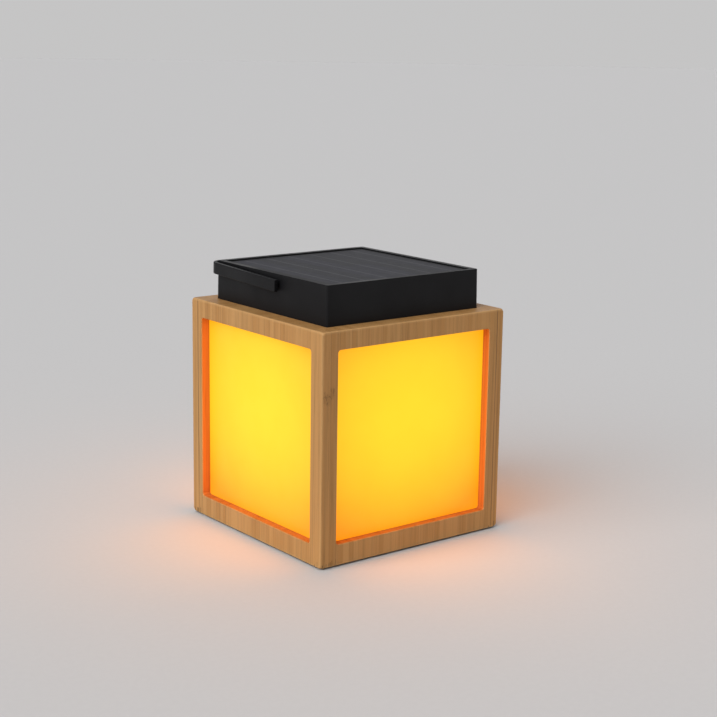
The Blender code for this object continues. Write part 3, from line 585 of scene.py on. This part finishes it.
def solarFinish(name):
    look = panelLook
    material, tree, shader = startFinish(name, roughness=0.5, specular=0.1)
    low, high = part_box("solar_panel")
    spot = axes(tree, objectSpot(tree))
    x, y = spot["X"], spot["Y"]
    reach = (high.x - low.x) / 2 - look["margin"]
    wide, deep = 2 * reach / look["columns"], 2 * reach / look["rows"]
    gap, finger, ribbon = look["cellGap"], look["fingerWidth"], look["ribbonWidth"]

    def fromEdge(value, pitch):         # distance to the nearest line of a row of them
        lane = calc(tree, "FRACT", calc(tree, "DIVIDE", calc(tree, "ADD", value, reach), pitch))
        return product(tree, calc(tree, "SUBTRACT", 0.5, apart(tree, lane, 0.5)), pitch)

    def cellNumber(value, pitch):
        return calc(tree, "FLOOR", calc(tree, "DIVIDE", calc(tree, "ADD", value, reach), pitch))

    outwards = calc(tree, "MAXIMUM", calc(tree, "ABSOLUTE", x), calc(tree, "ABSOLUTE", y))
    inside = fade(tree, outwards, reach - look["softEdge"], reach)
    toGap = calc(tree, "MINIMUM", fromEdge(x, wide), fromEdge(y, deep))
    inside = product(tree, inside, ease(tree, toGap, gap * 0.4, gap * 0.6))
    fingers = ease(tree, fromEdge(y, look["fingerPitch"]), finger * 0.4, finger, 0.4, 0.0)
    shifted = calc(tree, "ADD", x, wide / 2)
    ribbons = fade(tree, fromEdge(shifted, wide), ribbon * 0.45, ribbon * 0.6)
    silver = product(tree, calc(tree, "MAXIMUM", fingers, ribbons), inside)
    which = calc(tree, "ADD", cellNumber(x, wide), product(tree, cellNumber(y, deep), 17.0))
    colour = tint(tree, whiteNoise(tree, which), look["cell"], look["cellBlue"])
    colour = tint(tree, inside, look["backing"], colour)
    feed(tree, shader, "Base Color", tint(tree, silver, colour, look["ribbon"]))
    haze = noise(tree, objectSpot(tree), look["hazeScale"], 4.0, 0.6)
    feed(tree, shader, "Roughness", ease(tree, haze, 0.3, 0.75, 0.485, 0.51))
    ripple = noise(tree, objectSpot(tree), look["rippleScale"], 2.0)
    relief(tree, shader, ripple, look["rippleDepth"], 0.35)
    finish[name] = material


solarFinish("solar_cells")


# rubber, foam, metal, boards and leads: fine grain, with a broad drift from dark to pale

mottledLooks = {
    "rubber_black": {"colour": (0.024, 0.024, 0.025), "roughness": 0.78, "scale": 1400.0, "depth": 0.08 * mm},
    "foam_grey": {"colour": (0.11, 0.11, 0.115), "roughness": 0.92, "scale": 900.0, "depth": 0.25 * mm},
    "steel_bright": {"colour": (0.62, 0.62, 0.64), "roughness": 0.3, "scale": 600.0, "metallic": 1.0,
                     "spread": 0.1},
    "can_silver": {"colour": (0.55, 0.56, 0.58), "roughness": 0.35, "scale": 500.0, "metallic": 1.0,
                   "spread": 0.1},
    "board_green": {"colour": (0.022, 0.16, 0.062), "roughness": 0.42, "scale": 420.0, "spread": 0.4},
    "board_white": {"colour": (0.80, 0.80, 0.78), "roughness": 0.4, "scale": 500.0, "spread": 0.06},
    "cell_blue": {"colour": (0.04, 0.17, 0.38), "roughness": 0.34, "scale": 300.0, "spread": 0.12},
    "lead_red": {"colour": (0.48, 0.018, 0.016), "roughness": 0.42, "scale": 800.0, "spread": 0.15},
    "lead_black": {"colour": (0.018, 0.018, 0.019), "roughness": 0.42, "scale": 800.0, "spread": 0.2},
}


def mottledFinish(name, colour, roughness, scale, metallic=0.0, depth=0.03 * mm, spread=0.25):
    material, tree, shader = startFinish(name, roughness, metallic)
    spot = objectSpot(tree)
    fine = noise(tree, spot, scale, 3.0, 0.6)
    broad = noise(tree, spot, scale * 0.08, 2.0)
    dark = tuple(level * (1 - spread) for level in colour)
    pale = tuple(min(1.0, level * (1 + spread)) for level in colour)
    feed(tree, shader, "Base Color", tint(tree, ease(tree, broad, 0.3, 0.7), dark, pale))
    rough = ease(tree, fine, 0.3, 0.7, roughness * 0.8, min(1.0, roughness * 1.2))
    feed(tree, shader, "Roughness", rough)
    relief(tree, shader, fine, depth, 0.5)
    finish[name] = material


for name, look in mottledLooks.items():
    mottledFinish(name, **look)
print("finishes:", len(finish), "materials")


# bamboo walls: one board is cut out of a rounded box, then copied to the other sides

wallSizes = {
    "cornerSanding": 2.0 * mm,
    "rounding": 1.1 * mm,
    "roundSteps": 5,
    "stile": 12.15 * mm,            # from the outside of the box to the window
    "bottomRail": 13.8 * mm,
    "topRail": 12.3 * mm,
    "windowRounding": 2.0 * mm,
    "windowSteps": 6,
    "easedEdge": 0.45 * mm,
    "easedSteps": 3,
    "mitreGap": 0.02 * mm,
    "setback": 6.2 * mm,            # from the outside to the step that the pane bears on
    "paneLap": 3.0 * mm,
    "room": 0.3 * mm,               # round the pane and the base
    "toolReach": 10 * mm,           # how far the window's tool sticks out of the board
    "near": 0.1 * mm,               # an edge this close to the window belongs to it
}


def makeWalls():
    size = wallSizes
    low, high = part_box("front_wall")
    half, bore = -low.y, -high.y
    wall = addBlock("front_wall_board", (-half, -half, low.z), (half, half, high.z))
    bpy.ops.object.mode_set(mode="EDIT")
    bpy.ops.mesh.select_all(action="SELECT")
    bpy.ops.mesh.bevel(offset=size["cornerSanding"], affect="VERTICES")
    bpy.ops.mesh.select_all(action="SELECT")
    roundEdges(size["rounding"], size["roundSteps"])
    bpy.ops.mesh.select_all(action="SELECT")
    bpy.ops.mesh.remove_doubles(threshold=hair)         # each corner ends in one point
    cutOff(wall, (0, -bore, 0), (0, 1, 0))
    shift = size["mitreGap"] * math.sqrt(2)
    for way in (-1, 1):
        cutOff(wall, (0, -shift, 0), (way, 1, 0))

    # window, step for the pane and recess for the base
    windowHalf = half - size["stile"]
    windowLow, windowHigh = low.z + size["bottomRail"], high.z - size["topRail"]
    past = size["toolReach"]
    window = addBlock("window_tool", (-windowHalf, -half - past, windowLow),
                      (windowHalf, -bore + past, windowHigh))
    roundPicked(window, lambda a, b: abs(a.y - b.y) > mm, size["windowRounding"], size["windowSteps"])
    carve(wall, window)
    room, lap = size["room"], size["paneLap"]
    paneLow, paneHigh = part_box("front_pane")
    carve(wall, addBlock("rebate_tool", (paneLow.x - room, -half + size["setback"], windowLow - lap),
                         (paneHigh.x + room, 0, windowHigh + lap)))
    baseLow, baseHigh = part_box("base_board")
    carve(wall, addBlock("base_tool", (baseLow.x - room, baseLow.y - room, 0),
                         (baseHigh.x + room, 0, baseHigh.z + room)))

    near = size["near"]

    def atWindow(spot):             # on the window's edge, on the outside
        across = abs(spot.x) < windowHalf + near
        upright = windowLow - near < spot.z < windowHigh + near
        return abs(spot.y + half) < hair and across and upright

    roundPicked(wall, lambda a, b: atWindow(a) and atWindow(b), size["easedEdge"], size["easedSteps"])
    boards = [wall]
    for turns, side in enumerate(sides[1:], 1):
        boards.append(copyOf(wall, side + "_wall_board", turn=(0, 0, turns * quarter)))
    for side, board in zip(sides, boards):
        dress(board, "bamboo_" + side, "box", "bamboo", side + "_wall")


makeWalls()
print("walls done")


# module housing: a square cap with a tray for the panel

housingSizes = {
    "upright": 1.3 * mm,
    "uprightSteps": 8,
    "draft": 0.35 * mm,             # how much wider each side is at the bottom
    "rim": 4.0 * mm,
    "rimEdge": 0.6 * mm,
    "trayDepth": 4.0 * mm,
    "trayRounding": 0.4 * mm,
    "trayFloor": 2.2 * mm,
    "wall": 2.2 * mm,
    "hollowRounding": 1.5 * mm,
    "ledgeWidth": 30 * mm,          # on the back, where the folded handle lies
    "ledgeHeight": 2 * mm,
    "ledgeEdge": 0.4 * mm,
    "pegRoom": 2.3 * mm,            # blind holes for the handle's pegs
    "pegHole": 3.5 * mm,
    "bossReach": 6 * mm,            # and the bosses round them, on the inside
    "bossWall": 1.2 * mm,
}


def makeHousing():
    size = housingSizes
    low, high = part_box("module_housing")
    half = high.x
    housing = addBlock("housing_shell", (-half, -half, low.z), (half, half, high.z))
    pickFaces(housing, lambda spot, normal: normal.z < -0.9)
    widen(1 + size["draft"] / half, (0, 0, low.z))
    roundPicked(housing, isUpright, size["upright"], size["uprightSteps"])
    tray = high.z - size["trayDepth"]
    floor = tray - size["trayFloor"]
    for reach, base, top, rounding in ((half - size["rim"], tray, high.z + mm, size["trayRounding"]),
                                       (half - size["wall"], low.z - mm, floor, size["hollowRounding"])):
        hollow = addBlock("hollow_tool", (-reach, -reach, base), (reach, reach, top))
        roundPicked(hollow, isUpright, rounding, 4)
        carve(housing, hollow)
    roundPicked(housing, lambda a, b: min(a.z, b.z) > high.z - hair, size["rimEdge"], 3)

    # the ledge, at the height that it has in the CAD housing
    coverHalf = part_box("module_cover")[1].x
    cadSpots = [spot.co for spot in nodes["module_housing"].data.vertices]
    ledgeTop = max(spot.z for spot in cadSpots if spot.y > coverHalf + mm)
    ledgeHalf, middle = size["ledgeWidth"] / 2, size["wall"] / 2
    ledge = addBlock("ledge_tool", (-ledgeHalf, half - middle, ledgeTop - size["ledgeHeight"]),
                     (ledgeHalf, high.y, ledgeTop))
    easeSharp(ledge, size["ledgeEdge"], 2)
    carve(housing, ledge, "UNION")

    # blind holes for the handle's pegs, each in a boss
    reach, bottom = size["bossReach"], half - size["pegHole"]
    for way in (-1, 1):
        ends = sorted((way * (bottom - size["bossWall"]), way * (half - middle)))
        boss = addBlock("boss_tool", (ends[0], -reach, pivot.z - reach),
                        (ends[1], reach, tray - size["trayFloor"] / 2))
        carve(housing, boss, "UNION")
        carve(housing, addPin("peg_tool", size["pegRoom"], bottom, half + mm, way))
    dress(housing, "module_black", "module", "black_plastic", "module_housing")


makeHousing()
print("housing done")


# solar panel

panelSizes = {"border": 1.2 * mm, "edge": 0.3 * mm, "edgeSteps": 2}


def makePanel():
    size = panelSizes
    panel = addBlock("panel_glass", *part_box("solar_panel"))
    pickFaces(panel, lambda spot, normal: normal.z > 0.9)
    bpy.ops.mesh.inset(thickness=size["border"])
    easeSharp(panel, size["edge"], size["edgeSteps"])
    dress(panel, "solar_cells", "module", "solar_panel", "solar_panel")


# bail handle: a flat strap bent to a U, with a spacer and a peg at each pivot

handleSizes = {
    "inner": 63.7 * mm,
    "outer": 66.7 * mm,
    "height": 7.8 * mm,
    "overhang": 11.4 * mm,
    "rounding": 8.7 * mm,
    "innerRounding": 3.8 * mm,      # clear of the housing's corners when it lies to the front
    "roundSteps": 14,
    "edge": 0.5 * mm,
    "edgeSteps": 3,
    "tilt": math.radians(1.9),
    "peg": 2.0 * mm,
    "pegDepth": 3.2 * mm,
    "spacer": 3.4 * mm,
    "spacerRoom": 0.3 * mm,
}


def makeHandle():
    size = handleSizes
    inner, outer, rise = size["inner"], size["outer"], size["height"] / 2
    strap = addBlock("handle_strap", (-outer, -size["overhang"], -rise), (outer, outer, rise))
    opening = addBlock("opening_tool", (-inner, -2 * size["overhang"], -2 * rise), (inner, inner, 2 * rise))
    for block, reach, rounding in ((strap, outer, size["rounding"]), (opening, inner, size["innerRounding"])):
        roundPicked(block, lambda a, b: isUpright(a, b) and a.y > reach - mm, rounding, size["roundSteps"])
    carve(strap, opening)
    easeSharp(strap, size["edge"], size["edgeSteps"])
    strap.rotation_euler = (size["tilt"], 0, 0)
    strap.location = pivot
    only(strap)
    named("handle_strap")
    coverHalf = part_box("module_cover")[1].x
    root = (inner + outer) / 2
    for way in (-1, 1):
        for radius, tip in ((size["spacer"], coverHalf + size["spacerRoom"]),
                            (size["peg"], coverHalf - size["pegDepth"])):
            carve(strap, addPin("stub_tool", radius, tip, root, way), "UNION")
    dress(strap, "handle_black", "handle", "handle_plastic", "handle")


# dome over the light

domeSizes = {"bulb": 18.1 * mm, "flange": 2 * mm, "wall": 1.6 * mm, "segments": 64, "rings": 32}


def makeDome():
    size = domeSizes
    low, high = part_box("led_dome")
    flange, bulb = high.z - size["flange"], size["bulb"]
    only(None)
    bpy.ops.mesh.primitive_uv_sphere_add(segments=size["segments"], ring_count=size["rings"], radius=1,
                                         location=(0, 0, flange), scale=(bulb, bulb, flange - low.z))
    dome = named("dome_shell")
    bpy.ops.object.mode_set(mode="EDIT")
    bpy.ops.mesh.select_all(action="SELECT")
    bpy.ops.mesh.bisect(plane_co=(0, 0, flange), plane_no=(0, 0, 1), clear_outer=True)
    pickEdges(dome, lambda a, b: min(a.z, b.z) > flange - hair)
    bpy.ops.mesh.extrude_region_move()
    widen(high.x / bulb, (0, 0, flange))
    push(high.z - flange)
    bpy.ops.mesh.select_all(action="SELECT")
    bpy.ops.mesh.normals_make_consistent(inside=False)
    bpy.ops.object.mode_set(mode="OBJECT")
    applyModifier(dome, "SOLIDIFY", thickness=size["wall"], offset=-1.0)
    dress(dome, "opal_dome", "module", "opal_dome", "led_dome")


# push button and feet: both are round, look down, and have a dip in the face

buttonSizes = {
    "flangeHeight": 1.2 * mm,
    "flangeWidth": 1.5 * mm,
    "edge": 0.5 * mm,
    "dipBorder": 1.3 * mm,
    "dipDepth": 0.35 * mm,
    "dipSlope": 0.6 * mm,
    "eased": 0.15 * mm,
}
footSizes = {"edge": 0.5 * mm, "dipBorder": 1.6 * mm, "dipSlope": 0.5 * mm, "dipDepth": 0.3 * mm}


def makeButton():
    size = buttonSizes
    low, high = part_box("power_button")
    middle = (low + high) / 2
    flangeLow = high.z - size["flangeHeight"]
    button = addRound("button_cap", high.x - middle.x, (middle.x, middle.y, flangeLow),
                      (middle.x, middle.y, high.z))
    pickFaces(button, lambda spot, normal: normal.z < -0.9)
    bpy.ops.mesh.inset(thickness=size["flangeWidth"])
    push(low.z - flangeLow)
    pickEdges(button, lambda a, b: max(a.z, b.z) < low.z + hair)
    roundEdges(size["edge"], 4)
    pickFaces(button, lambda spot, normal: normal.z < -0.9 and spot.z < low.z + hair)
    bpy.ops.mesh.inset(thickness=size["dipBorder"], depth=-size["dipDepth"])
    bpy.ops.mesh.inset(thickness=size["dipSlope"])
    easeSharp(button, size["eased"], 2)
    dress(button, "button_white", "button", "white_plastic", "power_button")


def makeFeet():
    size = footSizes
    low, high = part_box("foot_front_left")
    middle = (low + high) / 2
    first = addRound("foot_pad_front_left", (high.x - low.x) / 2, (middle.x, middle.y, low.z),
                     (middle.x, middle.y, high.z))
    pickEdges(first, lambda a, b: max(a.z, b.z) < low.z + hair)
    roundEdges(size["edge"], 4)
    pickFaces(first, lambda spot, normal: normal.z < -0.9 and spot.z < low.z + hair)
    bpy.ops.mesh.inset(thickness=size["dipBorder"])
    bpy.ops.mesh.inset(thickness=size["dipSlope"], depth=-size["dipDepth"])
    bpy.ops.object.mode_set(mode="OBJECT")
    pads = [first]
    for turns, corner in enumerate(corners[1:], 1):
        pads.append(copyOf(first, "foot_pad_" + corner, turn=(0, 0, turns * quarter)))
    for corner, pad in zip(corners, pads):
        dress(pad, "rubber_black", "box", "rubber", "foot_" + corner)


# cross-head screws: one of each kind is modelled, then copied to each CAD screw

screwKinds = {
    "base": {"shank": 1.25 * mm, "head": 1.8 * mm, "facing": -1, "body": "box", "places": sides},
    "cover": {"shank": 1.4 * mm, "head": 1.6 * mm, "facing": -1, "body": "module", "places": corners},
    "board": {"shank": 0.9 * mm, "head": 1.2 * mm, "facing": 1, "body": "module",
              "places": ("left", "right")},
}
screwShape = {                      # as shares of the head's radius, or of its height
    "crossLength": 0.55,
    "crossWidth": 0.13,
    "crossDepth": 0.5,
    "headRounding": 0.45,
    "tip": 0.25,                    # share of the shank
    "steps": 40,
}


def screwMaster(name, kind, low, high):
    shape, shank, head, facing = screwShape, kind["shank"], kind["head"], kind["facing"]
    middle = (low + high) / 2
    radius = (high.x - low.x) / 2
    headLow, headHigh = (high.z - head, high.z) if facing > 0 else (low.z, low.z + head)
    outside = headHigh if facing > 0 else headLow
    screw = addRound(name, radius, (middle.x, middle.y, headLow), (middle.x, middle.y, headHigh),
                     shape["steps"])
    pickEdges(screw, lambda a, b: abs(a.z - outside) < hair and abs(b.z - outside) < hair)
    roundEdges(head * shape["headRounding"], 4)
    pickFaces(screw, lambda spot, normal: normal.z * facing < -0.9)
    bpy.ops.mesh.inset(thickness=radius - shank)
    push(-facing * (high.z - low.z - head - shank))
    push(-facing * shank)
    widen(shape["tip"], (middle.x, middle.y, 0))
    bpy.ops.object.mode_set(mode="OBJECT")
    arm, thick = radius * shape["crossLength"], radius * shape["crossWidth"]
    ends = sorted((outside - facing * head * shape["crossDepth"], outside + facing * mm))
    for x, y in ((arm, thick), (thick, arm)):
        carve(screw, addBlock("cross_tool", (middle.x - x, middle.y - y, ends[0]),
                              (middle.x + x, middle.y + y, ends[1])))
    return screw


def makeScrews(group, kind):
    names = [group + "_screw_" + place for place in kind["places"]]
    low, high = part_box(names[0])
    start = (low + high) / 2
    screws = [screwMaster(names[0] + "_steel", kind, low, high)]
    for name in names[1:]:
        low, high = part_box(name)
        screws.append(copyOf(screws[0], name + "_steel", move=(low + high) / 2 - start))
    for name, screw in zip(names, screws):
        dress(screw, "steel_bright", kind["body"], "steel", name)


makePanel()
makeHandle()
makeDome()
makeButton()
makeFeet()
for group, kind in screwKinds.items():
    makeScrews(group, kind)
print("module pieces, feet and screws done")


# CAD nodes that keep their shape get their finish here

repaint("bamboo_base", "base_board")
for corner in corners:
    repaint("bamboo_strip", "corner_bead_" + corner, "corner_block_" + corner)
for side in sides:
    repaint("opal_pane", side + "_pane")
repaint("module_black", "module_cover", "battery_holder")
repaint("rubber_black", "cover_gasket")
repaint("foam_grey", "panel_foam", "battery_tape")
repaint("steel_bright", "positive_contact", "negative_contact")
repaint("board_green", "circuit_board")
repaint("board_white", "led_board")
repaint("led_phosphor", "led_emitter")
repaint("chip_black", "controller_chip", "charge_inductor", "push_switch")
repaint("can_silver", "smoothing_capacitor")
repaint("cell_blue", "battery_cell")
for group in ("panel", "battery", "led"):
    repaint("lead_red", group + "_lead_positive")
    repaint("lead_black", group + "_lead_negative")
print("CAD nodes painted")


# floor, light and camera

stageLook = {
    "floor": (0.56, 0.555, 0.55),
    "floorRadius": 14.0,
    "floorDrop": 0.02 * mm,
    "paperScale": 260.0,
    "ambient": (0.36, 0.36, 0.375),
    "backdrop": (0.56, 0.556, 0.556),
    "ceiling": (0.20, 0.20, 0.21),
    "glow": (1.0, 0.23, 0.015),         # light of the panes on what stands round them
    "glowPower": 0.10,
    "glowSize": 122 * mm,
    "glowGap": 0.1 * mm,                # from the outside of a pane
}
suns = {                                # angles in degrees, and way is the turn from the front
    "key": {"power": 2.4, "spread": 55, "height": 42, "way": -80},
    "fill": {"power": 0.18, "spread": 80, "height": 35, "way": 25},
    "back": {"power": 0.5, "spread": 70, "height": 40, "way": 130},
}


def makeFloor():
    look = stageLook
    only(None)
    bpy.ops.mesh.primitive_circle_add(vertices=96, radius=look["floorRadius"], fill_type="NGON",
                                      location=(0, 0, -look["floorDrop"]))
    floor = named("floor")
    material, tree, shader = startFinish("floor_paper", 0.85, specular=0.2)
    paper = noise(tree, objectSpot(tree), look["paperScale"], 3.0)
    dark = tuple(level * 0.985 for level in look["floor"])
    feed(tree, shader, "Base Color", tint(tree, ease(tree, paper, 0.3, 0.7), dark, look["floor"]))
    floor.data.materials.append(material)


def makeSuns():
    for name, sun in suns.items():
        only(None)
        bpy.ops.object.light_add(type="SUN", location=(0, 0, 2))
        lamp = bpy.context.object
        lamp.name = name + "_light"
        lamp.data.energy = sun["power"]
        lamp.data.angle = math.radians(sun["spread"])
        rise, way = math.radians(sun["height"]), math.radians(sun["way"])
        toward = Vector((math.sin(way) * math.cos(rise), -math.cos(way) * math.cos(rise), math.sin(rise)))
        lamp.rotation_euler = toward.to_track_quat("Z", "Y").to_euler()


def makeGlow():                 # just outside each pane, facing out, and not seen itself
    look = stageLook
    paneLow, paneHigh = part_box("front_pane")
    for turns, side in enumerate(sides):
        only(None)
        bpy.ops.object.light_add(type="AREA")
        lamp = bpy.context.object
        lamp.name = side + "_glow"
        lamp.data.size = look["glowSize"]
        lamp.data.energy = look["glowPower"]
        lamp.data.color = look["glow"]
        lamp.visible_camera = False
        lamp.visible_glossy = False
        turn = turns * quarter
        lamp.location = Vector((math.sin(turn), -math.cos(turn), 0)) * (look["glowGap"] - paneLow.y)
        lamp.location.z = (paneLow.z + paneHigh.z) / 2
        lamp.rotation_euler = (-quarter, 0, turn)


def makeWorld():                # soft light all round, with a pale backdrop where it is seen or mirrored
    look = stageLook
    world = bpy.data.worlds.new("studio")
    world.use_nodes = True
    bpy.context.scene.world = world
    tree = world.node_tree
    path = addNode(tree, "LightPath", {}).outputs
    seen = calc(tree, "MAXIMUM", path["Is Camera Ray"], path["Is Glossy Ray"])
    seen = calc(tree, "MAXIMUM", seen, path["Is Transmission Ray"])
    height = axes(tree, addNode(tree, "TexCoord", {}).outputs["Generated"])["Z"]
    shown = tint(tree, ease(tree, height, 0.03, 0.3), look["backdrop"], look["ceiling"])
    feed(tree, tree.nodes["Background"], "Color", tint(tree, seen, look["ambient"], shown))


cameraPlace = {
    "spot": (-0.62174, -0.80897, 0.33433),
    "yaw": math.radians(38.05),
    "pitch": math.radians(-12.17),
    "roll": math.radians(0.87),
    "lens": 77.17,
    "sensor": 36,
}


def makeCamera():
    place = cameraPlace
    yaw, pitch, roll = place["yaw"], place["pitch"], place["roll"]
    ahead = Vector((math.sin(yaw) * math.cos(pitch), math.cos(yaw) * math.cos(pitch), math.sin(pitch)))
    level = Vector((math.cos(yaw), -math.sin(yaw), 0))
    above = level.cross(ahead)
    right = math.cos(roll) * level + math.sin(roll) * above
    up = math.cos(roll) * above - math.sin(roll) * level
    only(None)
    bpy.ops.object.camera_add()
    camera = bpy.context.object
    turn = Matrix((right, up, -ahead)).transposed().to_4x4()
    camera.matrix_world = Matrix.Translation(place["spot"]) @ turn
    camera.data.lens = place["lens"]
    camera.data.sensor_width = place["sensor"]
    bpy.context.scene.camera = camera


makeFloor()
makeSuns()
makeGlow()
makeWorld()
makeCamera()
bpy.context.scene.view_settings.view_transform = "Standard"
only(None)
print("stage done")
